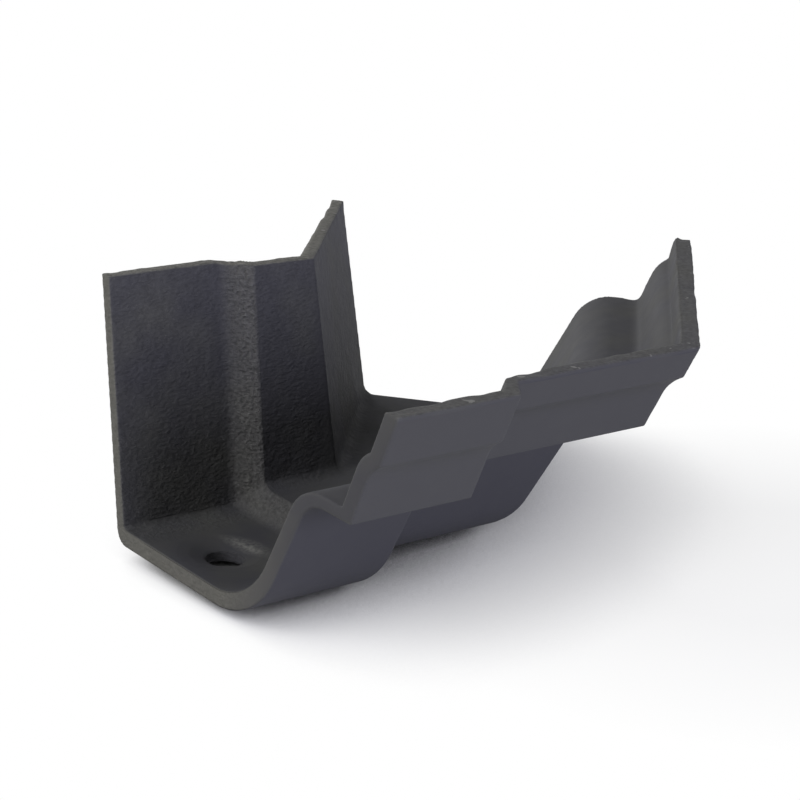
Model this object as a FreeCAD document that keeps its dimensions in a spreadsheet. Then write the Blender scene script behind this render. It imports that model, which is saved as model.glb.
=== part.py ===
"""External angle for an ogee gutter: one casting whose moulded section turns a 135 degree corner.

The section is drawn across the socket leg. Its datum is the foot of the back wall, where the outer back
face would meet a sole no thicker than the walls: reach runs from there to the front, and height runs up.
"""
import FreeCAD, Part
import math
import os
import Sketcher

SIZES = {
    # Ogee section, outer face
    "gutter_depth": 67.5,
    "back_angle": 11.0,
    "corner_radius": 5.0,
    "heel_reach": 54.8,
    "heel_radius": 21.5,
    "slope_angle": 24.2,
    "throat_radius": 9.5,
    "ledge_width": 16.6,
    "front_height": 26.1,
    "front_angle": 19.5,
    "cove_rise": 7.5,
    "cove_radius": 10.3,
    "rim_step": 2.8,
    # Thickness of the casting, and the turn inside its corner
    "wall": 3.5,
    "sole_thickening": 1.5,
    "ledge_thickening": 0.9,
    "inner_corner_radius": 4.0,
    # The two legs, measured along the foot of the back wall
    "turn_angle": 45.0,
    "plain_run": 24.2,
    "spigot_leg": 73.9,
    # Socket that takes the plain end of the next length
    "joint_clearance": 3.0,
    "socket_wall": 3.5,
    "front_thickening": 1.5,
    "socket_corner_radius": 2.0,
    "socket_depth": 38.5,
    "shoulder_length": 6.5,
    "shoulder_lag": 1.0,
    # Bolt hole in the socket's sole
    "hole_diameter": 11.0,
    "hole_from_end": 16.0,
    "hole_reach": 24.5,
    "dish_diameter": 20.0,
    "dish_depth": 1.0,
}

# Edges of a section sketch in order round it, and the points of an edge
BACK, CORNER, SOLE, HEEL, SLOPE, THROAT, LEDGE, FASCIA, COVE, RIM, MOUTH = range(11)
START, END, CENTRE = 1, 2, 3

# Sizes that lie between the mitre and the socket's open end
SOCKET_END = dict(plain_run=-1, shoulder_lag=-1, shoulder_length=-1, socket_depth=-1)

doc = FreeCAD.newDocument("gutter_external_angle")
sheet = doc.addObject("Spreadsheet::Sheet", "Sizes")
for row, (alias, value) in enumerate(SIZES.items(), start=1):
    sheet.set(f"A{row}", alias)
    sheet.set(f"B{row}", str(value))
    sheet.setAlias(f"B{row}", alias)
doc.recompute()


class Length:
    """A length added up from cells of the sheet, held as a number and as an expression."""

    def __init__(self, **shares):
        self.number = sum(share * sheet.get(alias) for alias, share in shares.items())
        self.text = "(" + (" + ".join(f"({n}) * Sizes.{alias}" for alias, n in shares.items()) or "0") + ")"


class Profile:
    """One parallel of the section, set outwards from the outer face by the sizes in shares."""

    def __init__(self, shares, corner_radius, hollow=0, thickening=Length(), lift=Length()):
        self.out = Length(**shares)
        self.top = Length(gutter_depth=1, wall=hollow)
        self.drop = Length(sole_thickening=1 - hollow)
        self.corner_radius = Length(**{corner_radius: 1})
        self.heel_radius = Length(heel_radius=1, **shares)
        self.throat_radius = Length(throat_radius=1, wall=hollow)
        self.cove_radius = Length(cove_radius=1)
        self.thickening = thickening
        self.lift = lift


def ray(angle):
    """Unit vector of a sketch at an angle in degrees from its first axis."""
    return FreeCAD.Vector(math.cos(math.radians(angle)), math.sin(math.radians(angle)), 0)


def tan(angle):
    """Tangent of an angle in degrees."""
    return math.tan(math.radians(angle))


def arc(centre, first, last):
    """Arc of a sketch about a centre, anticlockwise from one point to another."""
    arms = [first - centre, last - centre]
    circle = Part.Circle(centre, FreeCAD.Vector(0, 0, 1), arms[0].Length)
    return Part.ArcOfCircle(circle, *(math.atan2(arm.y, arm.x) for arm in arms))


def fillet(before, corner, after, radius):
    """Arc that rounds the corner between two straight runs, anticlockwise whichever way they turn."""
    incoming = (before - corner).normalize()
    outgoing = (after - corner).normalize()
    half_angle = incoming.getAngle(outgoing) / 2
    centre = corner + (incoming + outgoing).normalize() * (radius / math.sin(half_angle))
    setback = radius / math.tan(half_angle)
    ends = [corner + incoming * setback, corner + outgoing * setback]
    turns_right = incoming.cross(outgoing).z > 0
    return arc(centre, *(reversed(ends) if turns_right else ends))


def bind(sketch, name, expression, *constraint):
    """Add a dimension to a sketch and tie it to the sheet."""
    index = sketch.addConstraint(Sketcher.Constraint(*constraint))
    sketch.renameConstraint(index, name)
    sketch.setExpression(f"Constraints.{name}", expression)


def new_sketch(body, name, role, offset, rotation=FreeCAD.Rotation()):
    """Start a sketch on one of the body's own origin planes, moved along that plane's normal."""
    sketch = body.newObject("Sketcher::SketchObject", name)
    plane = next(feature for feature in body.Origin.OriginFeatures if feature.Role == role)
    sketch.AttachmentSupport = (plane, [""])
    sketch.MapMode = "FlatFace"
    sketch.AttachmentOffset = FreeCAD.Placement(FreeCAD.Vector(0, 0, offset.number), rotation)
    sketch.setExpression("AttachmentOffset.Base.z", offset.text)
    return sketch


def section_outline(profile):
    """Lines and arcs of a profile, from the back round by the sole and the front to the mouth."""
    size = sheet.get
    out, top = profile.out.number, profile.top.number
    thickening, lift, drop = profile.thickening.number, profile.lift.number, profile.drop.number
    back, slope, front = size("back_angle"), size("slope_angle"), size("front_angle")
    upwards, inwards = ray(90 - front), ray(180 - front)
    ledge_height = size("gutter_depth") - size("front_height")
    arris_reach = size("heel_reach") + ledge_height * tan(slope) + size("ledge_width") + thickening
    rim_reach = arris_reach + size("front_height") * tan(front) + size("rim_step")
    cove_height = ledge_height + size("cove_rise") - out * tan(45 - front / 2)

    foot = FreeCAD.Vector(drop * tan(back) - out * tan(45 - back / 2), -out - drop, 0)
    back_top = FreeCAD.Vector(foot.x - (top - foot.y) * tan(back), top, 0)
    heel_reach = size("heel_reach") + thickening + out * tan(45 - slope / 2) - drop * tan(slope)
    heel = FreeCAD.Vector(heel_reach, foot.y, 0)
    level = ledge_height + lift - out
    throat = FreeCAD.Vector(heel.x + (level - heel.y) * tan(slope), level, 0)
    arris = FreeCAD.Vector(arris_reach + out * tan(45 - front / 2) + lift * tan(front), level, 0)
    rim_rise = top - size("gutter_depth")
    rim_top = FreeCAD.Vector(rim_reach + out / upwards.y + rim_rise * tan(front), top, 0)

    corner_arc = fillet(back_top, foot, heel, profile.corner_radius.number)
    heel_arc = fillet(foot, heel, throat, profile.heel_radius.number)
    throat_arc = fillet(heel, throat, arris, profile.throat_radius.number)
    cove_radius = profile.cove_radius.number
    fascia_height = cove_height + inwards.y * cove_radius - level
    fascia_top = arris + upwards * (fascia_height / upwards.y)
    cove_centre = fascia_top - inwards * cove_radius
    to_rim = (rim_top - cove_centre).dot(inwards)
    rim_foot = cove_centre + inwards * to_rim + upwards * math.sqrt(cove_radius ** 2 - to_rim ** 2)
    return [
        Part.LineSegment(corner_arc.StartPoint, back_top),
        corner_arc,
        Part.LineSegment(corner_arc.EndPoint, heel_arc.StartPoint),
        heel_arc,
        Part.LineSegment(heel_arc.EndPoint, throat_arc.EndPoint),
        throat_arc,
        Part.LineSegment(throat_arc.StartPoint, arris),
        Part.LineSegment(arris, fascia_top),
        arc(cove_centre, rim_foot, fascia_top),
        Part.LineSegment(rim_foot, rim_top),
        Part.LineSegment(rim_top, back_top),
    ]


def join_section(sketch):
    """Join the runs and turns of a section end to end, smoothly where it flows and sharp at its edges."""
    smooth_joints = [
        (BACK, START, CORNER, START),
        (CORNER, END, SOLE, START),
        (SOLE, END, HEEL, START),
        (HEEL, END, SLOPE, START),
        (SLOPE, END, THROAT, END),
        (THROAT, START, LEDGE, START),
        (FASCIA, END, COVE, END),
    ]
    sharp_joints = [
        (LEDGE, END, FASCIA, START),
        (COVE, START, RIM, START),
        (RIM, END, MOUTH, START),
        (MOUTH, END, BACK, END),
    ]
    for joint in smooth_joints:
        sketch.addConstraint(Sketcher.Constraint("Tangent", *joint))
    for joint in sharp_joints:
        sketch.addConstraint(Sketcher.Constraint("Coincident", *joint))
    for level in (SOLE, LEDGE, MOUTH):
        sketch.addConstraint(Sketcher.Constraint("Horizontal", level))
    sketch.addConstraint(Sketcher.Constraint("Parallel", FASCIA, RIM))


def section_sketch(body, name, station, profile):
    """Draw one closed profile across the socket leg, with its first axis towards the front."""
    facing_end = FreeCAD.Rotation(FreeCAD.Vector(0, 1, 0), 180)
    sketch = new_sketch(body, name, "YZ_Plane", station, facing_end)
    outline = section_outline(profile)
    sketch.addGeometry(outline, False)
    join_section(sketch)

    out, top = profile.out.text, profile.top.text
    thickening, lift, drop = profile.thickening.text, profile.lift.text, profile.drop.text
    back, slope, front = (f"(Sizes.{run}_angle * 1 deg)" for run in ("back", "slope", "front"))
    ledge_height = "(Sizes.gutter_depth - Sizes.front_height)"
    heel_reach = f"Sizes.heel_reach + {thickening} - {drop} * tan({slope})"
    arris_reach = f"Sizes.heel_reach + {ledge_height} * tan({slope}) + Sizes.ledge_width + {thickening}"
    rim_reach = f"{arris_reach} + Sizes.front_height * tan({front}) + Sizes.rim_step"
    leans = {BACK: f"90 deg + {back}", SLOPE: f"90 deg - {slope}", FASCIA: f"90 deg - {front}"}
    for run, angle in leans.items():
        along = outline[run].EndPoint - outline[run].StartPoint
        bind(sketch, f"lean_{run}", angle, "Angle", run, math.atan2(along.y, along.x))
    turns = {
        CORNER: profile.corner_radius,
        HEEL: profile.heel_radius,
        THROAT: profile.throat_radius,
        COVE: profile.cove_radius,
    }
    for turn, radius in turns.items():
        bind(sketch, f"radius_{turn}", radius.text, "Radius", turn, radius.number)
    heights = {
        (SOLE, START): f"-{out} - {drop}",
        (LEDGE, END): f"{ledge_height} + {lift} - {out}",
        (COVE, CENTRE): f"{ledge_height} + Sizes.cove_rise - {out} * tan(45 deg - {front} / 2)",
        (BACK, END): top,
    }
    reaches = {
        (BACK, END): f"-{top} * tan({back}) - {out} / cos({back})",
        (HEEL, CENTRE): f"{heel_reach} - Sizes.heel_radius * tan(45 deg - {slope} / 2)",
        (LEDGE, END): f"{arris_reach} + {out} * tan(45 deg - {front} / 2) + {lift} * tan({front})",
        (RIM, END): f"{rim_reach} + {out} / cos({front}) + ({top} - Sizes.gutter_depth) * tan({front})",
    }
    for (edge, where), height in heights.items():
        bind(sketch, f"height_{edge}", height, "DistanceY", edge, where, sketch.getPoint(edge, where).y)
    for (edge, where), reach in reaches.items():
        bind(sketch, f"reach_{edge}", reach, "DistanceX", edge, where, sketch.getPoint(edge, where).x)
    return sketch


def run_sketch(body, name, start, end):
    """Draw the foot of the back wall along both legs, from a station on the socket leg."""
    sketch = new_sketch(body, name, "XY_Plane", Length())
    turn = sheet.get("turn_angle")
    foot = FreeCAD.Vector(0, 0, 0)
    sketch.addGeometry(Part.LineSegment(FreeCAD.Vector(start.number, 0, 0), foot), False)
    sketch.addGeometry(Part.LineSegment(foot, ray(turn) * end.number), False)
    sketch.addConstraint(Sketcher.Constraint("Horizontal", 0))
    sketch.addConstraint(Sketcher.Constraint("Coincident", 0, END, -1, START))
    sketch.addConstraint(Sketcher.Constraint("Coincident", 1, START, -1, START))
    bind(sketch, "start", start.text, "DistanceX", 0, START, start.number)
    bind(sketch, "turn", "Sizes.turn_angle * 1 deg", "Angle", 1, math.radians(turn))
    bind(sketch, "leg", end.text, "Distance", 1, end.number)
    return sketch


def sweep(body, kind, name, section, run):
    """Carry a section along both legs, with a mitre where they meet."""
    doc.recompute()
    pipe = body.newObject(kind, name)
    pipe.Profile = section
    pipe.Spine = (run, ["Edge1", "Edge2"])
    pipe.Transition = "Right corner"


def shoulder(body, kind, name, leg_section, socket_section):
    """Taper from the section of the leg to the section of the socket."""
    doc.recompute()
    loft = body.newObject(kind, name)
    loft.Profile = leg_section
    loft.Sections = [socket_section]
    loft.Ruled = True


def outer_form(body):
    """Build the casting as if it were solid: the moulded legs, the shoulder and the socket."""
    start = Length(plain_run=-1)
    step = Length(plain_run=-1, shoulder_length=-1)
    moulding = Profile({}, "corner_radius")
    leg_section = section_sketch(body, "leg_outer", start, moulding)
    socket_shares = dict(joint_clearance=1, socket_wall=1)
    socket_face = Profile(socket_shares, "corner_radius", thickening=Length(front_thickening=1))
    socket_section = section_sketch(body, "socket_outer", step, socket_face)
    run = run_sketch(body, "outer_run", start, Length(spigot_leg=1))
    sweep(body, "PartDesign::AdditivePipe", "moulding", leg_section, run)
    shoulder(body, "PartDesign::AdditiveLoft", "outer_shoulder", leg_section, socket_section)
    doc.recompute()
    collar = body.newObject("PartDesign::Pad", "socket")
    collar.Profile = socket_section
    collar.setExpression("Length", "Sizes.socket_depth + Sizes.shoulder_lag")


def hollow_out(body):
    """Cut the channel, its shoulder and the socket's mouth, open at the top and at both ends."""
    start = Length(plain_run=-1, shoulder_lag=-1)
    stop = Length(plain_run=-1, shoulder_lag=-1, shoulder_length=-1)
    channel = Profile(dict(wall=-1), "inner_corner_radius", hollow=1, lift=Length(ledge_thickening=1))
    leg_section = section_sketch(body, "leg_inner", start, channel)
    socket_bore = Profile(dict(joint_clearance=1), "socket_corner_radius", hollow=1)
    socket_section = section_sketch(body, "socket_inner", stop, socket_bore)
    run = run_sketch(body, "inner_run", start, Length(spigot_leg=1, wall=1))
    sweep(body, "PartDesign::SubtractivePipe", "channel", leg_section, run)
    shoulder(body, "PartDesign::SubtractiveLoft", "inner_shoulder", leg_section, socket_section)
    doc.recompute()
    mouth = body.newObject("PartDesign::Pocket", "socket_mouth")
    mouth.Profile = socket_section
    mouth.Reversed = True
    mouth.setExpression("Length", "Sizes.socket_depth + Sizes.wall")


def bolt_hole(body):
    """Sink the dished bolt hole through the socket's sole."""
    sketch = new_sketch(body, "hole_centre", "XY_Plane", Length(joint_clearance=-1))
    along = Length(hole_from_end=1, **SOCKET_END)
    across = Length(hole_reach=-1)
    radius = sheet.get("hole_diameter") / 2
    centre = FreeCAD.Vector(along.number, across.number, 0)
    sketch.addGeometry(Part.Circle(centre, FreeCAD.Vector(0, 0, 1), radius), False)
    bind(sketch, "along", along.text, "DistanceX", 0, CENTRE, along.number)
    bind(sketch, "across", across.text, "DistanceY", 0, CENTRE, across.number)
    bind(sketch, "radius", "Sizes.hole_diameter / 2", "Radius", 0, radius)
    doc.recompute()
    hole = body.newObject("PartDesign::Hole", "bolt_hole")
    hole.Profile = sketch
    hole.DepthType = "ThroughAll"
    hole.HoleCutType = "Countersink"
    hole.HoleCutCustomValues = True
    hole.setExpression("Diameter", "Sizes.hole_diameter")
    hole.setExpression("HoleCutDiameter", "Sizes.dish_diameter")
    dish_slope = "(Sizes.dish_diameter - Sizes.hole_diameter) / 2 / Sizes.dish_depth"
    hole.setExpression("HoleCutCountersinkAngle", f"2 * atan({dish_slope})")


def gutter_angle():
    """Build the casting, with its origin on the bolt hole's axis at the socket's underside."""
    body = doc.addObject("PartDesign::Body", "gutter_angle")
    body.Label = "gutter_angle"
    outer_form(body)
    hollow_out(body)
    bolt_hole(body)
    body.setExpression("Placement.Base.x", f"-{Length(hole_from_end=1, **SOCKET_END).text}")
    body.setExpression("Placement.Base.y", "Sizes.hole_reach")
    body.setExpression("Placement.Base.z", Length(joint_clearance=1, socket_wall=1, sole_thickening=1).text)
    doc.recompute()
    return body


def check(body):
    """Stop if any object failed, or the casting is not one valid solid."""
    for item in doc.Objects:
        if "Invalid" in item.State or "Error" in item.State:
            raise RuntimeError(f"{item.Name} failed: {item.State}")
    if body.Shape.isNull() or not body.Shape.isValid() or len(body.Shape.Solids) != 1:
        raise RuntimeError(f"{body.Label} is not one valid solid")


casting = gutter_angle()
check(casting)
os.makedirs("parts", exist_ok=True)
casting.Shape.exportStep(f"parts/{casting.Label}.step")
print(casting.Label, casting.Shape.optimalBoundingBox(), "volume", round(casting.Shape.Volume))
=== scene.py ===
"""Gutter external angle in painted cast iron, on a pale floor.

The casting starts as a copy of the CAD solid. It gets an even mesh with softened edges, uneven rims and a
sand-cast skin, and satin charcoal paint that has worn through in specks along the edges.
"""
import math

import bpy
import numpy as np
from bpy.props import FloatProperty, FloatVectorProperty, IntProperty, PointerProperty
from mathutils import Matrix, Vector


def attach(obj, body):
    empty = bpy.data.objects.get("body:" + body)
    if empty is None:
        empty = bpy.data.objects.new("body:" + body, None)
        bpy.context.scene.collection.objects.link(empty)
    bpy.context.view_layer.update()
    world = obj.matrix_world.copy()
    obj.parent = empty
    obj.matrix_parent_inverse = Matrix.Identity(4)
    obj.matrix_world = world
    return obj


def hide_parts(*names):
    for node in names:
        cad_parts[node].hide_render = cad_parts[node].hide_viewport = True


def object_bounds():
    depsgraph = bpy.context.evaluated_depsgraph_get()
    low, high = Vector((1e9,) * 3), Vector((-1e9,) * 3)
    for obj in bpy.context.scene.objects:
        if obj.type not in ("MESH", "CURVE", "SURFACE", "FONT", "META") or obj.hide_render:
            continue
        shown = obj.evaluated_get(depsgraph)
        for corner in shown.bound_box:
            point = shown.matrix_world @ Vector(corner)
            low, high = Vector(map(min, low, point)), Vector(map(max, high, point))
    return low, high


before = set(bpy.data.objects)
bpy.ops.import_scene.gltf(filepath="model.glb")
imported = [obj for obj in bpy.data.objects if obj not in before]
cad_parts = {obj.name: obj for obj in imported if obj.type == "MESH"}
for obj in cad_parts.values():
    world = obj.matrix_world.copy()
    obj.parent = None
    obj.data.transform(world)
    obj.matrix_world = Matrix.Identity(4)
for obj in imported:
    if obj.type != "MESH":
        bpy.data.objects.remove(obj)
CAD_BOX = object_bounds()
TOP = CAD_BOX[1][2]

# Foot of the back wall at the mitre, and each leg's way to the front
DIAGONAL = math.sqrt(0.5)
BACK_FOOT = (0.0542, 0.0245, 0)
FRONTWARDS = ((0, -1, 0), (DIAGONAL, -DIAGONAL, 0))

# A point on each leg's open end, and the way out of it
OPEN_ENDS = (((-0.0160, 0, 0), (-1, 0, 0)), ((0.12413, 0.05908, 0), (DIAGONAL, DIAGONAL, 0)))

# How far in front of the back wall's foot the inside gives way to the front, and the belly to the fascia
FRONT_REACH = (0.050, 0.062)
FASCIA_REACH = (0.082, 0.088)

# Where the far leg starts along X, and where the inner shoulder starts and ends
FAR_LEG = (0.045, 0.055)
SHOULDER = (0.0225, 0.0290)

# How softly the shoulder's paint and its grain begin and stop, from its start and from its end
PAINT_START = (-0.002, 0.003)
PAINT_STOP = (-0.0005, 0.0005)
GRAIN_START = (0, 0.002)
GRAIN_STOP = (-0.001, 0)

# How softly the worn paint of an open end's face begins, and how softly the skin turns smooth there
END_PAINT = (-0.0004, -0.0001)
END_SKIN = (-0.002, -0.0005)

# How far the back wall's rough skin runs out on the sole
ROUGH_STRIP = (0.005, 0.011)

# Upward part of a face's normal, on walls, on rims, and on faces that look down
WALL_FACING = (0.4, 0.7)
RIM_FACING = (0.5, 0.8)
DOWN_FACING = (-0.22, -0.30)
COVE_FACING = -0.1

# Backward part of a face's normal, on faces that look to the back
BACK_FACING = (0.6, 0.9)

# Points that count as one, the strength of a smoothing pass, and how far it reaches round a hollow
WELD_GAP = 0.00001
SMOOTHING = 0.5
HOLLOW_BAND = 0.005

# The hollow between the ledge and the front, inside: how far in front of the back wall's foot, and how high
LEDGE_HOLLOW = (0.0879, 0.0538)

# Height of the cove's foot outside
COVE_FOOT = 0.0593

# The dish: the share of its reach that sinks fully, the heights where that begins, and the sole's limit
DISH_FLOOR = 0.4
DISH_HEIGHTS = (0.001, 0.004)
SOLE_TOP = 0.006

# The fillet behind the back walls: how far it reaches to the front and to each side, and where it begins
CORNER_REACH = 0.010
CORNER_WIDTH = 0.007
CORNER_FOOT = (0.008, 0.020)

# How far that fillet runs along the far leg's rim, and how deep below the top
RUN_OUT_LENGTH = 0.055
RUN_OUT_DEPTH = (-0.015, -0.004)

# How deep below the top the front rim swells, and where that begins beyond the socket
SWELL_DEPTH = (-0.008, -0.002)
SWELL_START = (0.030, 0.045)

# Level of the lumps' noise at which a rim stays where it is
RIM_LEVEL = 0.45

# How many layers of finer lumps the rims and the grain have
RIM_LAYERS = 1
GRAIN_LAYERS = 2

# The sand's marks in the paint: how wide each kind is, and how many finer layers it has
MARKS = {"clouds": (0.022, 2), "blotches": (0.0045, 3), "pebbles": (0.0010, 1), "ripples": (0.0014, 2)}
RIPPLE_SQUEEZE = (1, 1, 1.9)

# How rough level faces, the strip along the sole and the far leg are, as shares of a near wall
LEVEL_SHARE = 0.05
STRIP_SHARE = 0.8
FAR_SHARE = 0.3

# How much the marks show in the paint's tone: blotches away from the walls and on them, ripples and pebbles
BLOTCH_MOTTLE = (0.08, 0.4)
RIPPLE_MOTTLE = 0.7
PEBBLE_MOTTLE = 1.2

# How high the marks stand in the bump: the mark, where it shows, and its share of the bump's depth
RELIEF = (("blotches", "wall", 0.3), ("ripples", "wall", 0.5), ("pebbles", "shoulder", 0.6))
BUMP_DEPTH = 0.001

# How deep below the top the paint of a rim begins, and where the wear of the open ends dies away
RIM_PAINT = (-0.003, -0.002)
END_WEAR_REACH = (0.045, 0.075)

# Noise at which the paint fades, is chipped, breaks up the dish's painted highlight and turns dull
FADED_CLOUDS = (0.40, 0.72)
CHIPPED_BLOTCHES = (0.67, 0.70)
HIGHLIGHT_PEBBLES = (0.2, 0.7)
DULL_NOISE = (0.35, 0.65)

# Sharpness of an edge at which the paint fades and is lost
FADED_EDGE = (0.52, 0.60)
BARE_EDGE = (0.56, 0.60)

# Painted highlight, a crescent of bare iron's colour on the dish's far slope: the hole, its side of the
# hole, its start there, and its edge
HOLE = (0, 0, 0)
HIGHLIGHT_SIDE = (0.98, 0.19, 0)
HIGHLIGHT_START = (0.006, 0.009)
HIGHLIGHT_REACH = (0.009, 0.0135)

# The floor: its side, where it turns white beyond the shade, and how white it is within
FLOOR_SIZE = 6
WHITE_DISTANCE = (0.04, 0.11)
SHADE_WHITE = 0.82

# How open the floor lies to its surroundings where it turns white, and where it takes its colour; closed in
# by the casting, it gets painted shade
WHITE_OPENNESS = (0.08, 0.7)
FLOOR_OPENNESS = (0.05, 0.25)
OPENNESS_SAMPLES = 16

# White for the room and the floor, and black for the shade painted on the floor where the casting closes it
# in
WHITE = (1, 1, 1, 1)
SHADE_BLACK = (0, 0, 0, 1)

# The soft square lamps: their side, where each hangs, and its colour
LAMP_SIZE = 0.6
LAMPS = {
    "side_light": ((-1.00, -0.05, 0.25), (1.00, 0.99, 0.97)),
    "high_light": ((-0.70, 0.00, 0.90), (1.00, 1.00, 1.00)),
    "front_light": ((0.10, -1.10, 0.25), (0.84, 0.84, 1.00)),
    "back_light": ((0.10, 1.00, 0.40), (1.00, 1.00, 1.00)),
}

# The nearest thing that the camera shows
CAMERA_NEAR = 0.01

bl_info = {
    "name": "Gutter external angle",
    "version": (1, 0, 0),
    "blender": (4, 5, 0),
    "location": "3D View > Sidebar > Gutter",
    "description": "A cast iron corner piece for an ogee gutter, with its paint and a stage",
    "category": "Add Mesh",
}


class CastingSizes(bpy.types.PropertyGroup):
    """Sizes of the cast skin and the rims."""

    mesh_pitch: FloatProperty(
        name="Mesh pitch",
        description="Edge length of the even mesh that carries the cast skin",
        default=0.0006,
        min=0.0004,
        unit="LENGTH",
        precision=5,
    )
    edge_softness: IntProperty(
        name="Edge softness",
        description="Smoothing passes that round the casting's edges",
        default=1,
        min=0,
    )
    triangles: IntProperty(
        name="Triangles",
        description="How many triangles the finished mesh keeps",
        default=196000,
        min=1000,
    )
    grain_width: FloatProperty(
        name="Grain width",
        description="Width of the dimples that the moulding sand leaves",
        default=0.0016,
        unit="LENGTH",
        precision=5,
    )
    grain_depth: FloatProperty(
        name="Grain depth",
        description="Depth of the dimples on the inner shoulder, where the skin is roughest",
        default=0.0005,
        unit="LENGTH",
        precision=5,
    )
    wall_share: FloatProperty(
        name="Grain on the walls",
        description="How much of the grain shows on the inner walls, compared with the shoulder",
        default=0.4,
        subtype="FACTOR",
        min=0,
        max=1,
    )
    smooth_share: FloatProperty(
        name="Grain elsewhere",
        description="How much of the grain shows on the other faces, compared with the shoulder",
        default=0.02,
        subtype="FACTOR",
        min=0,
        max=1,
    )
    foot_softness: IntProperty(
        name="Shoulder foot softness",
        description="Smoothing passes that round the hollow where the inner shoulder starts",
        default=40,
        min=0,
    )
    ledge_softness: IntProperty(
        name="Ledge softness",
        description="Smoothing passes that round the hollow between the ledge and the front",
        default=60,
        min=0,
    )
    cove_softness: IntProperty(
        name="Cove softness",
        description="Smoothing passes that round the foot of the cove, outside",
        default=12,
        min=0,
    )
    corner_fill: FloatProperty(
        name="Corner fill",
        description="How thick the fillet is in the corner behind the two back walls",
        default=0.0016,
        unit="LENGTH",
        precision=5,
    )
    corner_softness: IntProperty(
        name="Corner softness",
        description="Smoothing passes that round the fillet behind the two back walls",
        default=30,
        min=0,
    )
    rim_swell: FloatProperty(
        name="Rim swell",
        description="How far the front's top edge swells inwards beyond the socket",
        default=0.0013,
        unit="LENGTH",
        precision=5,
    )
    dish_reach: FloatProperty(
        name="Dish reach",
        description="How far from the bolt hole's axis the soft edge of its dish starts",
        default=0.0135,
        unit="LENGTH",
        precision=5,
    )
    dish_depth: FloatProperty(
        name="Dish depth",
        description="How far the dish sinks at the hole below the solid's own dish",
        default=0.0008,
        unit="LENGTH",
        precision=5,
    )
    rim_lump: FloatProperty(
        name="Rim lump",
        description="Length of the humps along the top edges",
        default=0.009,
        unit="LENGTH",
        precision=5,
    )
    rim_depth: FloatProperty(
        name="Rim depth",
        description="How far the uneven top edges rise and dip",
        default=0.0006,
        unit="LENGTH",
        precision=5,
    )
    rim_band: FloatProperty(
        name="Rim band",
        description="How far the unevenness of an edge reaches down the wall",
        default=0.004,
        unit="LENGTH",
        precision=5,
    )


class PaintFinish(bpy.types.PropertyGroup):
    """Colours, gloss and wear of the paint."""

    paint: FloatVectorProperty(
        name="Paint",
        description="Charcoal of the sound paint",
        default=(0.036, 0.036, 0.041, 1),
        subtype="COLOR",
        size=4,
        min=0,
        max=1,
    )
    # Also paints the fascia lighter, as painted light
    faded: FloatVectorProperty(
        name="Faded paint",
        description="Dull grey of thin paint, in clouds and along edges",
        default=(0.050, 0.050, 0.049, 1),
        subtype="COLOR",
        size=4,
        min=0,
        max=1,
    )
    worn: FloatVectorProperty(
        name="Worn paint",
        description="Light warm grey of the paint that is left on the rims and the open ends",
        default=(0.090, 0.088, 0.078, 1),
        subtype="COLOR",
        size=4,
        min=0,
        max=1,
    )
    # Also paints the highlight on the dish's far slope
    bare: FloatVectorProperty(
        name="Bare iron",
        description="Light specks where an edge has lost its paint, and the rubbed part of the dish",
        default=(0.17, 0.17, 0.16, 1),
        subtype="COLOR",
        size=4,
        min=0,
        max=1,
    )
    gloss_roughness: FloatProperty(
        name="Glossiest roughness",
        description="Roughness of the smoothest paint",
        default=0.70,
        subtype="FACTOR",
        min=0,
        max=1,
    )
    dull_roughness: FloatProperty(
        name="Dullest roughness",
        description="Roughness of the faded paint",
        default=0.80,
        subtype="FACTOR",
        min=0,
        max=1,
    )
    shine: FloatProperty(
        name="Shine",
        description="How strongly the paint reflects",
        default=0.15,
        subtype="FACTOR",
        min=0,
        max=1,
    )
    back_rim_wear: FloatProperty(
        name="Wear of the back rim",
        description="How worn the paint is on the back walls' top edges",
        default=0.9,
        subtype="FACTOR",
        min=0,
        max=1,
    )
    front_rim_wear: FloatProperty(
        name="Wear of the front rim",
        description="How worn the paint is on the front's top edge",
        default=0.2,
        subtype="FACTOR",
        min=0,
        max=1,
    )
    back_end_wear: FloatProperty(
        name="Wear of the ends, back",
        description="How worn the paint is on the open ends near the back wall",
        default=0.8,
        subtype="FACTOR",
        min=0,
        max=1,
    )
    front_end_wear: FloatProperty(
        name="Wear of the ends, front",
        description="How worn the paint is on the open ends near the front",
        default=0.05,
        subtype="FACTOR",
        min=0,
        max=1,
    )
    # Lightens the paint on the inner shoulder
    shoulder_lightening: FloatProperty(
        name="Wear of the shoulder",
        description="How worn the paint is on the inner shoulder",
        default=0.22,
        subtype="FACTOR",
        min=0,
        max=1,
    )
    # Painted highlight: how strongly the dish's far slope takes bare iron's light colour
    dish_highlight: FloatProperty(
        name="Rubbing",
        description="How bare the dish is where the bolt's head has rubbed it",
        default=0.7,
        subtype="FACTOR",
        min=0,
        max=1,
    )
    rim_chips: FloatProperty(
        name="Chips on the rims",
        description="How bare the specks on the top edges are",
        default=0.8,
        subtype="FACTOR",
        min=0,
        max=1,
    )
    # Painted light: how much lighter the fascia's paint is made, as though it caught more light than the
    # belly
    fascia_painted_light: FloatProperty(
        name="Fading of the fascia",
        description="How faded the paint is on the fascia",
        default=0.65,
        subtype="FACTOR",
        min=0,
        max=1,
    )
    edge_fading: FloatProperty(
        name="Fading of the edges",
        description="How faded the paint is along sharp edges",
        default=0.8,
        subtype="FACTOR",
        min=0,
        max=1,
    )


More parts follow.
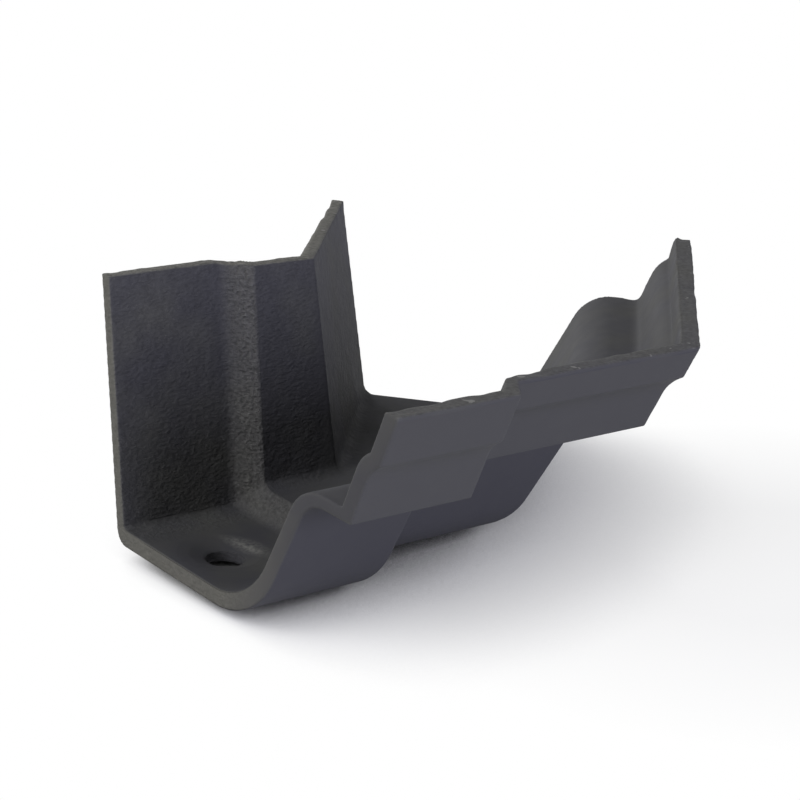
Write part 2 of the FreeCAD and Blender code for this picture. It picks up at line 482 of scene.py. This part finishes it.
class StageSetup(bpy.types.PropertyGroup):
    """Floor, light and camera."""

    floor_colour: FloatVectorProperty(
        name="Floor",
        description="Colour of the pale floor",
        default=(0.60, 0.60, 0.62, 1),
        subtype="COLOR",
        size=4,
        min=0,
        max=1,
    )
    floor_touch: FloatVectorProperty(
        name="Floor touch",
        description="Point under the socket where the casting touches the floor",
        default=(0.0235, -0.0179, 0),
        subtype="TRANSLATION",
    )
    floor_turn: FloatVectorProperty(
        name="Floor turn",
        description="Slope of the floor, which meets the socket's edge and the far leg's heel",
        default=(math.radians(-2.35), math.radians(-4.66), 0),
        subtype="EULER",
    )
    shade_place: FloatVectorProperty(
        name="Shade place",
        description="Middle of the shaded part of the floor, seen from the floor's touch",
        default=(0.10, -0.07, 0),
        subtype="TRANSLATION",
    )
    shade_reach: FloatProperty(
        name="Shade reach",
        description="How far from the casting the floor stays shaded",
        default=0.08,
        unit="LENGTH",
    )
    side_power: FloatProperty(
        name="Side light",
        description="Power of the low light beside the socket's open end",
        default=6.2,
        unit="POWER",
    )
    high_power: FloatProperty(
        name="High light",
        description="Power of the light high above the socket's open end",
        default=7.8,
        unit="POWER",
    )
    front_power: FloatProperty(
        name="Front light",
        description="Power of the low light on the moulded front",
        default=18,
        unit="POWER",
    )
    back_power: FloatProperty(
        name="Back light",
        description="Power of the light behind the casting",
        default=4.5,
        unit="POWER",
    )
    sky_strength: FloatProperty(
        name="Room light",
        description="Strength of the even light from all round",
        default=0.01,
    )
    lens: FloatProperty(
        name="Lens",
        description="Focal length of the camera",
        default=103.03,
        unit="CAMERA",
    )
    camera_place: FloatVectorProperty(
        name="Camera place",
        description="Where the camera stands",
        default=(-0.35069, -0.47000, 0.25597),
        subtype="TRANSLATION",
    )
    camera_turn: FloatVectorProperty(
        name="Camera turn",
        description="How the camera is turned",
        default=tuple(math.radians(angle) for angle in (70.898, -4.972, -39.346)),
        subtype="EULER",
    )


def around(place, margins):
    """Two limits, each by its margin from a place."""
    return [place + margin for margin in margins]


def add_node(tree, kind, inputs=None, **settings):
    """Add a node, set it up, and link or set its inputs by name or number."""
    node = tree.nodes.new(kind)
    for name, value in settings.items():
        setattr(node, name, value)
    for name, value in (inputs or {}).items():
        if isinstance(value, bpy.types.NodeSocket):
            tree.links.new(value, node.inputs[name])
        else:
            node.inputs[name].default_value = value
    return node


def noise(tree, place, width, detail):
    """Noise whose blotches are about width across."""
    inputs = {"Vector": place, "Scale": 1 / width, "Detail": detail}
    return add_node(tree, "ShaderNodeTexNoise", inputs).outputs["Fac"]


def stretch(tree, value, low, high, start=0, end=1):
    """Map a value from one range to another, and hold it there."""
    inputs = {"Value": value, "From Min": low, "From Max": high, "To Min": start, "To Max": end}
    return add_node(tree, "ShaderNodeMapRange", inputs).outputs["Result"]


def combine(tree, operation, first, *others):
    """Work one kind of sum on a row of values."""
    result = first
    for other in others:
        node = add_node(tree, "ShaderNodeMath", {0: result, 1: other}, operation=operation)
        result = node.outputs["Value"]
    return result


def mix_colours(tree, factor, first, second):
    """Blend two colours, which a mix node takes at its inputs 6 and 7 and gives at its output 2."""
    inputs = {0: factor, 6: first, 7: second}
    return add_node(tree, "ShaderNodeMix", inputs, data_type="RGBA").outputs[2]


def mix_shaders(tree, factor, first, second):
    """Blend two shaders."""
    return add_node(tree, "ShaderNodeMixShader", {0: factor, 1: first, 2: second}).outputs["Shader"]


def work_vectors(tree, operation, first, second):
    """Work one sum on two vectors."""
    return add_node(tree, "ShaderNodeVectorMath", {0: first, 1: second}, operation=operation).outputs


def new_material(name):
    """Start a material with nothing in it."""
    material = bpy.data.materials.new(name)
    material.use_nodes = True
    material.node_tree.nodes.clear()
    return material, material.node_tree


def measure(tree, place, start, direction):
    """How far a place lies from a start in one direction."""
    from_start = work_vectors(tree, "SUBTRACT", place, start)["Vector"]
    return work_vectors(tree, "DOT_PRODUCT", from_start, direction)["Value"]


def reach_to_front(tree, place):
    """How far a place lies in front of the back wall's foot."""
    reaches = [measure(tree, place, BACK_FOOT, frontwards) for frontwards in FRONTWARDS]
    return combine(tree, "MAXIMUM", *reaches)


def shoulder_share(tree, along):
    """One on the inner shoulder, and nothing beyond it."""
    begun = stretch(tree, along, *around(SHOULDER[0], PAINT_START))
    passed = stretch(tree, along, *around(SHOULDER[1], PAINT_STOP), 1, 0)
    return combine(tree, "MULTIPLY", begun, passed)


def end_share(tree, place):
    """One on the faces of the two open ends."""
    shares = []
    for middle, outwards in OPEN_ENDS:
        shares.append(stretch(tree, measure(tree, place, middle, outwards), *END_PAINT))
    return combine(tree, "MAXIMUM", *shares)


def around_zero(tree, value, share):
    """Swing a noise around zero, by a share of it."""
    return combine(tree, "MULTIPLY", combine(tree, "SUBTRACT", value, 0.5), share)


def sand_marks(tree, place):
    """The sand's marks, from wide clouds to fine pebbles, and long ripples."""
    squeezed = work_vectors(tree, "MULTIPLY", place, RIPPLE_SQUEEZE)["Vector"]
    places = {"clouds": place, "blotches": place, "pebbles": place, "ripples": squeezed}
    return {mark: noise(tree, places[mark], *MARKS[mark]) for mark in MARKS}


def skin_zones(tree, place, upwards):
    """Where the skin is rough or worn: the inner walls, the shoulder, the rims and the open ends."""
    axes = add_node(tree, "ShaderNodeSeparateXYZ", {"Vector": place}).outputs
    reach = reach_to_front(tree, place)
    inside = stretch(tree, reach, *FRONT_REACH, 1, 0)
    upright = stretch(tree, combine(tree, "ABSOLUTE", upwards, 0), *WALL_FACING, 1, LEVEL_SHARE)
    strip = stretch(tree, reach, *ROUGH_STRIP, STRIP_SHARE, 0)
    rough = combine(tree, "MAXIMUM", upright, strip)
    near = stretch(tree, axes["X"], *FAR_LEG, 1, FAR_SHARE)
    high = stretch(tree, axes["Z"], *around(TOP, RIM_PAINT))
    return {
        "reach": reach,
        "inside": inside,
        "wall": combine(tree, "MULTIPLY", inside, rough, near),
        "shoulder": combine(tree, "MULTIPLY", inside, shoulder_share(tree, axes["X"])),
        "rim": combine(tree, "MULTIPLY", high, stretch(tree, upwards, *RIM_FACING)),
        "ends": end_share(tree, place),
    }


def paint_fading_and_painted_light(tree, finish, marks, zones, upwards, sharpness):
    """How faded the paint is, in clouds and along edges, with painted light and shade on faces that look
    down: the fascia is painted lighter and the belly keeps the darkest paint.
    """
    clouded = stretch(tree, marks["clouds"], *FADED_CLOUDS)
    # Painted light and shade: faces that look down lose the clouds, the fascia is painted lighter, and the
    # belly keeps the darkest paint
    front = stretch(tree, zones["reach"], *FASCIA_REACH, 0, finish.fascia_painted_light)
    by_facing = stretch(tree, stretch(tree, upwards, *DOWN_FACING), 0, 1, clouded, front)
    by_edge = combine(tree, "MULTIPLY", stretch(tree, sharpness, *FADED_EDGE), finish.edge_fading)
    return combine(tree, "MAXIMUM", by_facing, by_edge)


def paint_wear_and_lightening(tree, finish, zones):
    """How worn the paint is on the rims and the open ends, most at the back wall, and how much lighter it is
    on the inner shoulder.
    """
    by_inside = stretch(tree, zones["inside"], 0, 1, finish.front_rim_wear, finish.back_rim_wear)
    by_reach = stretch(tree, zones["reach"], *END_WEAR_REACH, finish.back_end_wear, finish.front_end_wear)
    rim_wear = combine(tree, "MULTIPLY", zones["rim"], by_inside)
    end_wear = combine(tree, "MULTIPLY", zones["ends"], by_reach)
    # Lighter paint on the inner shoulder
    shoulder_lightening = combine(tree, "MULTIPLY", zones["shoulder"], finish.shoulder_lightening)
    return combine(tree, "MAXIMUM", rim_wear, end_wear, shoulder_lightening)


def paint_mottle(tree, marks, zones):
    """How much the sand's marks lighten or darken the paint."""
    blotch_share = stretch(tree, zones["wall"], 0, 1, *BLOTCH_MOTTLE)
    ripple_share = combine(tree, "MULTIPLY", zones["wall"], RIPPLE_MOTTLE)
    speckled = combine(tree, "MAXIMUM", zones["shoulder"], zones["rim"])
    pebble_share = combine(tree, "MULTIPLY", speckled, PEBBLE_MOTTLE)
    shares = {"blotches": blotch_share, "ripples": ripple_share, "pebbles": pebble_share}
    swings = [around_zero(tree, marks[mark], share) for mark, share in shares.items()]
    return combine(tree, "ADD", 1, *swings)


def bare_iron_and_highlight(tree, finish, place, marks, zones, sharpness):
    """Where bare iron's light colour shows: in chips along the edges, and as a painted highlight on the
    dish's far slope.
    """
    on_rims = combine(tree, "MULTIPLY", zones["rim"], finish.rim_chips)
    on_edges = combine(tree, "MAXIMUM", on_rims, stretch(tree, sharpness, *BARE_EDGE))
    chips = combine(tree, "MULTIPLY", stretch(tree, marks["blotches"], *CHIPPED_BLOTCHES), on_edges)
    level = work_vectors(tree, "MULTIPLY", place, (1, 1, 0))["Vector"]
    from_axis = work_vectors(tree, "DISTANCE", level, HOLE)["Value"]
    to_side = measure(tree, place, HOLE, HIGHLIGHT_SIDE)
    # Painted highlight: a crescent on the dish's far slope, broken up by the pebbles
    highlighted = combine(
        tree,
        "MULTIPLY",
        stretch(tree, from_axis, *HIGHLIGHT_REACH, finish.dish_highlight, 0),
        stretch(tree, to_side, *HIGHLIGHT_START),
        stretch(tree, marks["pebbles"], *HIGHLIGHT_PEBBLES),
    )
    return combine(tree, "MAXIMUM", chips, highlighted)


def skin_relief(tree, marks, zones):
    """Bump of the sand's marks."""
    heights = []
    for mark, zone, share in RELIEF:
        heights.append(combine(tree, "MULTIPLY", zones[zone], share, marks[mark]))
    inputs = {"Strength": 1, "Distance": BUMP_DEPTH, "Height": combine(tree, "ADD", *heights)}
    return add_node(tree, "ShaderNodeBump", inputs).outputs["Normal"]


def painted_iron(finish):
    """Satin charcoal paint over a sand-cast skin, worn on the rims and chipped along the edges."""
    material, tree = new_material("painted_iron")
    coordinates = add_node(tree, "ShaderNodeTexCoord").outputs
    place = coordinates["Object"]
    upwards = add_node(tree, "ShaderNodeSeparateXYZ", {"Vector": coordinates["Normal"]}).outputs["Z"]
    sharpness = add_node(tree, "ShaderNodeNewGeometry").outputs["Pointiness"]
    marks = sand_marks(tree, place)
    zones = skin_zones(tree, place, upwards)
    # Fading in clouds and along edges, with painted light on the fascia and painted shade on the belly
    fading_and_painted_light = paint_fading_and_painted_light(tree, finish, marks, zones, upwards, sharpness)
    paint = mix_colours(tree, fading_and_painted_light, tuple(finish.paint), tuple(finish.faded))
    paint = mix_colours(tree, paint_wear_and_lightening(tree, finish, zones), paint, tuple(finish.worn))
    paint = work_vectors(tree, "MULTIPLY", paint, paint_mottle(tree, marks, zones))["Vector"]
    # Bare iron in chips, and the painted highlight on the dish's far slope
    bare_and_highlight = bare_iron_and_highlight(tree, finish, place, marks, zones, sharpness)
    dullness = combine(tree, "MULTIPLY", combine(tree, "ADD", marks["clouds"], marks["blotches"]), 0.5)
    inputs = {
        "Base Color": mix_colours(tree, bare_and_highlight, paint, tuple(finish.bare)),
        "Roughness": stretch(tree, dullness, *DULL_NOISE, finish.gloss_roughness, finish.dull_roughness),
        "Normal": skin_relief(tree, marks, zones),
        "Specular IOR Level": finish.shine,
    }
    shader = add_node(tree, "ShaderNodeBsdfPrincipled", inputs)
    add_node(tree, "ShaderNodeOutputMaterial", {"Surface": shader.outputs["BSDF"]})
    return material


def seen_rays(tree):
    """One for the rays that show the white to the eye, directly, in gloss and through clear things."""
    path = add_node(tree, "ShaderNodeLightPath").outputs
    kinds = ("Is Camera Ray", "Is Glossy Ray", "Is Transmission Ray")
    return combine(tree, "MAXIMUM", *[path[kind] for kind in kinds])


def pale_floor(setup):
    """Pale floor that keeps the shadow near the casting and fades to white away from it, with painted shade
    where the casting closes it in.
    """
    material, tree = new_material("pale_floor")
    place = add_node(tree, "ShaderNodeTexCoord").outputs["Object"]
    distance = work_vectors(tree, "DISTANCE", place, tuple(setup.shade_place))["Value"]
    inputs = {"Distance": setup.shade_reach}
    openness = add_node(tree, "ShaderNodeAmbientOcclusion", inputs, samples=OPENNESS_SAMPLES).outputs["AO"]
    by_distance = stretch(tree, distance, *WHITE_DISTANCE, SHADE_WHITE, 1)
    # Painted shade: where the casting closes the floor in, its white fades and its colour darkens to black
    by_openness = stretch(tree, openness, *WHITE_OPENNESS)
    white_share = combine(tree, "MULTIPLY", by_distance, by_openness, seen_rays(tree))
    share_outside_painted_shade = stretch(tree, openness, *FLOOR_OPENNESS)
    colour = mix_colours(tree, share_outside_painted_shade, SHADE_BLACK, tuple(setup.floor_colour))
    matt = add_node(tree, "ShaderNodeBsdfDiffuse", {"Color": colour}).outputs["BSDF"]
    white = add_node(tree, "ShaderNodeEmission", {"Color": WHITE, "Strength": 1}).outputs["Emission"]
    surface = mix_shaders(tree, white_share, matt, white)
    add_node(tree, "ShaderNodeOutputMaterial", {"Surface": surface})
    return material


def work_on(piece):
    """Select one object alone and make it active."""
    bpy.ops.object.select_all(action="DESELECT")
    piece.select_set(True)
    bpy.context.view_layer.objects.active = piece


def apply_modifier(piece, name, kind, **settings):
    """Add a modifier and apply it."""
    modifier = piece.modifiers.new(name, kind)
    for setting, value in settings.items():
        setattr(modifier, setting, value)
    bpy.ops.object.modifier_apply(modifier=modifier.name)


def cloud_texture(name, width, depth):
    """Soft lumps about width across, for a displacement."""
    texture = bpy.data.textures.new(name, "CLOUDS")
    texture.noise_scale = width
    texture.noise_depth = depth
    return texture


def vertex_vectors(piece, name):
    """Where the vertices of a mesh are, or which way they face."""
    vectors = np.empty(len(piece.data.vertices) * 3)
    piece.data.vertices.foreach_get(name, vectors)
    return vectors.reshape(-1, 3)


def ramp(values, low, high):
    """Rise from nothing to one between two values."""
    return np.clip((values - low) / (high - low), 0, 1)


def leg_reaches(places):
    """How far the places lie in front of the back wall's foot, by each leg's way to the front."""
    return (places - np.array(BACK_FOOT)) @ np.array(FRONTWARDS).T


def front_reach(places):
    """How far the places lie in front of the back wall's foot."""
    return np.max(leg_reaches(places), axis=1)


def facing_back(piece):
    """One where the skin looks to the back, and nothing elsewhere."""
    backwards = np.max(vertex_vectors(piece, "normal") @ -np.array(FRONTWARDS).T, axis=1)
    return ramp(backwards, *BACK_FACING)


def away_from_ends(places):
    """One away from the two open ends, and nothing on their faces."""
    outwards = [(places - np.array(middle)) @ np.array(out) for middle, out in OPEN_ENDS]
    return 1 - ramp(np.max(outwards, axis=0), *END_SKIN)


def weight_group(piece, name, weights):
    """Store one weight for each vertex."""
    group = piece.vertex_groups.new(name=name)
    for index, weight in enumerate(np.clip(weights, 0, 1).tolist()):
        group.add([index], weight, "REPLACE")


class GUTTER_OT_casting(bpy.types.Operator):
    """Make the casting with its soft edges, uneven rims and sand-cast skin"""

    bl_idname = "gutter.casting"
    bl_label = "Casting"

    def execute(self, context):
        sizes = context.scene.gutter_casting
        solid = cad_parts["gutter_angle"]
        casting = bpy.data.objects.new("casting", solid.data.copy())
        context.collection.objects.link(casting)
        work_on(casting)
        bpy.ops.object.mode_set(mode="EDIT")
        bpy.ops.mesh.select_all(action="SELECT")
        bpy.ops.mesh.remove_doubles(threshold=WELD_GAP)
        bpy.ops.object.mode_set(mode="OBJECT")
        apply_modifier(casting, "even_mesh", "REMESH", mode="VOXEL", voxel_size=sizes.mesh_pitch)
        apply_modifier(casting, "true_faces", "SHRINKWRAP", target=solid)
        apply_modifier(casting, "soft_edges", "SMOOTH", factor=SMOOTHING, iterations=sizes.edge_softness)
        self.round_hollows(casting, sizes)
        self.sink_dish(casting, sizes)
        self.fill_corner(casting, sizes)
        self.swell_rim(casting, sizes)
        self.roughen_rims(casting, sizes)
        self.grain_skin(casting, sizes)
        share = sizes.triangles / (2 * len(casting.data.polygons))
        apply_modifier(casting, "lighter_mesh", "DECIMATE", ratio=share)
        self.trim_to_size(casting)
        bpy.ops.object.shade_smooth()
        casting.data.materials.clear()
        casting.data.materials.append(painted_iron(context.scene.gutter_paint))
        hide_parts("gutter_angle")
        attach(casting, "root")
        return {"FINISHED"}

    def smooth_near(self, casting, name, weights, passes):
        """Smooth the mesh by its weights."""
        weight_group(casting, name, weights)
        apply_modifier(casting, name, "SMOOTH", factor=SMOOTHING, iterations=passes, vertex_group=name)

    def push_skin(self, casting, name, weights, distance, direction="NORMAL"):
        """Push the skin by its weights, along its normals or along Z."""
        weight_group(casting, name, weights)
        settings = {"direction": direction, "strength": distance, "mid_level": 0, "vertex_group": name}
        apply_modifier(casting, name, "DISPLACE", **settings)

    def round_hollows(self, casting, sizes):
        """Round the hollows at the foot of the inner shoulder, along the ledge and under the cove."""
        places = vertex_vectors(casting, "co")
        reach = front_reach(places)
        heights = places[:, 2]
        near_foot = (1 - np.abs(places[:, 0] - SHOULDER[0]) / HOLLOW_BAND) * (reach < FRONT_REACH[0])
        self.smooth_near(casting, "shoulder_foot", near_foot, sizes.foot_softness)
        near_ledge = 1 - np.hypot(reach - LEDGE_HOLLOW[0], heights - LEDGE_HOLLOW[1]) / HOLLOW_BAND
        self.smooth_near(casting, "ledge_hollow", near_ledge, sizes.ledge_softness)
        facing_down = vertex_vectors(casting, "normal")[:, 2] < COVE_FACING
        near_cove = (1 - np.abs(heights - COVE_FOOT) / HOLLOW_BAND) * (reach > FASCIA_REACH[1]) * facing_down
        self.smooth_near(casting, "cove_foot", near_cove * away_from_ends(places), sizes.cove_softness)

    def sink_dish(self, casting, sizes):
        """Let the dish round the bolt hole start softly and sink a little deeper."""
        places = vertex_vectors(casting, "co")
        heights = places[:, 2]
        from_axis = np.hypot(places[:, 0], places[:, 1])
        sinking = 1 - ramp(from_axis, sizes.dish_reach * DISH_FLOOR, sizes.dish_reach)
        on_sole = ramp(heights, *DISH_HEIGHTS) * (heights < SOLE_TOP)
        self.push_skin(casting, "dish", sinking * on_sole, -sizes.dish_depth, "Z")

    def fill_corner(self, casting, sizes):
        """Fill the corner behind the two back walls with a fillet that runs out along the far leg's rim."""
        places = vertex_vectors(casting, "co")
        heights = places[:, 2]
        socket_reach, far_reach = leg_reaches(places).T
        behind = facing_back(casting) * (front_reach(places) < CORNER_REACH)
        near_mitre = 1 - ramp(np.abs(far_reach - socket_reach), 0, CORNER_WIDTH)
        along_far_leg = (places - np.array(BACK_FOOT)) @ np.array(OPEN_ENDS[1][1])
        run_out = (1 - ramp(along_far_leg, 0, RUN_OUT_LENGTH)) * (far_reach > socket_reach)
        run_out *= ramp(heights, *around(TOP, RUN_OUT_DEPTH))
        weights = behind * np.maximum(near_mitre, run_out) * ramp(heights, *CORNER_FOOT)
        self.push_skin(casting, "back_corner", weights, sizes.corner_fill)
        self.smooth_near(casting, "round_corner", weights, sizes.corner_softness)

    def swell_rim(self, casting, sizes):
        """Let the front's top edge swell inwards, from the socket to the far end."""
        places = vertex_vectors(casting, "co")
        weights = facing_back(casting) * ramp(places[:, 2], *around(TOP, SWELL_DEPTH))
        weights *= (front_reach(places) > FASCIA_REACH[1]) * ramp(places[:, 0], *SWELL_START)
        self.push_skin(casting, "front_rim", weights, sizes.rim_swell)

    def roughen_rims(self, casting, sizes):
        """Let the top edges rise and dip a little."""
        places = vertex_vectors(casting, "co")
        weight_group(casting, "rims", 1 - (TOP - places[:, 2]) / sizes.rim_band)
        lumps = cloud_texture("rim_lumps", sizes.rim_lump, RIM_LAYERS)
        for direction in ("Z", "NORMAL"):
            apply_modifier(
                casting,
                "uneven_rims",
                "DISPLACE",
                direction=direction,
                texture=lumps,
                texture_coords="LOCAL",
                vertex_group="rims",
                strength=sizes.rim_depth,
                mid_level=RIM_LEVEL,
            )

    def grain_skin(self, casting, sizes):
        """Press the sand's dimples into the skin, deepest on the inner shoulder, and leave the ends flat."""
        places = vertex_vectors(casting, "co")
        along = places[:, 0]
        reach = front_reach(places)
        inside = 1 - ramp(reach, *FRONT_REACH)
        upright = 1 - ramp(np.abs(vertex_vectors(casting, "normal")[:, 2]), *WALL_FACING)
        rough = np.maximum(upright, 1 - ramp(reach, *ROUGH_STRIP))
        begun = ramp(along, *around(SHOULDER[0], GRAIN_START))
        shoulder = begun * (1 - ramp(along, *around(SHOULDER[1], GRAIN_STOP)))
        weights = np.maximum(inside * np.maximum(shoulder, rough * sizes.wall_share), sizes.smooth_share)
        weight_group(casting, "skin", weights * away_from_ends(places))
        apply_modifier(
            casting,
            "sand_grain",
            "DISPLACE",
            texture=cloud_texture("sand", sizes.grain_width, GRAIN_LAYERS),
            texture_coords="LOCAL",
            vertex_group="skin",
            strength=sizes.grain_depth,
        )

    def trim_to_size(self, casting):
        """Hold the skin inside the solid's box."""
        places = vertex_vectors(casting, "co")
        casting.data.vertices.foreach_set("co", np.clip(places, *CAD_BOX).ravel())
        casting.data.update()


class GUTTER_OT_stage(bpy.types.Operator):
    """Make the floor, the lights and the camera"""

    bl_idname = "gutter.stage"
    bl_label = "Stage"

    def execute(self, context):
        setup = context.scene.gutter_stage
        self.lay_floor(setup)
        self.light_room(context.scene, setup)
        self.hang_light("side_light", setup.side_power)
        self.hang_light("high_light", setup.high_power)
        self.hang_light("front_light", setup.front_power)
        self.hang_light("back_light", setup.back_power)
        self.place_camera(context.scene, setup)
        context.scene.view_settings.view_transform = "Standard"
        return {"FINISHED"}

    def lay_floor(self, setup):
        """Lay a wide floor that touches the socket's edge and the far leg's heel."""
        bpy.ops.object.select_all(action="DESELECT")
        place = setup.floor_touch
        bpy.ops.mesh.primitive_plane_add(size=FLOOR_SIZE, location=place, rotation=setup.floor_turn)
        floor = bpy.context.object
        floor.name = "floor"
        floor.data.materials.append(pale_floor(setup))

    def light_room(self, scene, setup):
        """Light the room evenly, and show it white."""
        world = bpy.data.worlds.new("room")
        world.use_nodes = True
        tree = world.node_tree
        tree.nodes.clear()
        backgrounds = []
        for strength in (setup.sky_strength, 1):
            node = add_node(tree, "ShaderNodeBackground", {"Color": WHITE, "Strength": strength})
            backgrounds.append(node.outputs["Background"])
        surface = mix_shaders(tree, seen_rays(tree), *backgrounds)
        add_node(tree, "ShaderNodeOutputWorld", {"Surface": surface})
        scene.world = world

    def hang_light(self, name, power):
        """Hang a soft square light that faces the casting."""
        place, colour = LAMPS[name]
        middle = (Vector(CAD_BOX[0]) + Vector(CAD_BOX[1])) / 2
        turn = (middle - Vector(place)).to_track_quat("-Z", "Y").to_euler()
        bpy.ops.object.light_add(type="AREA", location=place, rotation=turn)
        lamp = bpy.context.object
        lamp.name = name
        lamp.data.size = LAMP_SIZE
        lamp.data.energy = power
        lamp.data.color = colour

    def place_camera(self, scene, setup):
        """Set up the camera."""
        bpy.ops.object.camera_add(location=setup.camera_place, rotation=setup.camera_turn)
        scene.camera = bpy.context.object
        scene.camera.data.lens = setup.lens
        scene.camera.data.clip_start = CAMERA_NEAR


class GUTTER_PT_panel(bpy.types.Panel):
    """Sizes, finish and stage of the gutter angle"""

    bl_idname = "GUTTER_PT_panel"
    bl_label = "Gutter external angle"
    bl_space_type = "VIEW_3D"
    bl_region_type = "UI"
    bl_category = "Gutter"

    def draw(self, context):
        layout = self.layout
        groups = {
            "gutter.casting": (context.scene.gutter_casting, context.scene.gutter_paint),
            "gutter.stage": (context.scene.gutter_stage,),
        }
        for operator, property_groups in groups.items():
            box = layout.box()
            for group in property_groups:
                for name in group.__annotations__:
                    box.prop(group, name)
            box.operator(operator)


CLASSES = (CastingSizes, PaintFinish, StageSetup, GUTTER_OT_casting, GUTTER_OT_stage, GUTTER_PT_panel)


def register():
    """Add the classes and their settings to Blender."""
    for cls in CLASSES:
        bpy.utils.register_class(cls)
    bpy.types.Scene.gutter_casting = PointerProperty(type=CastingSizes)
    bpy.types.Scene.gutter_paint = PointerProperty(type=PaintFinish)
    bpy.types.Scene.gutter_stage = PointerProperty(type=StageSetup)


def unregister():
    """Take the classes and their settings out of Blender."""
    del bpy.types.Scene.gutter_stage
    del bpy.types.Scene.gutter_paint
    del bpy.types.Scene.gutter_casting
    for cls in reversed(CLASSES):
        bpy.utils.unregister_class(cls)


def main():
    """Make the piece and its stage."""
    register()
    bpy.ops.gutter.casting()
    bpy.ops.gutter.stage()


if __name__ == "__main__":
    main()
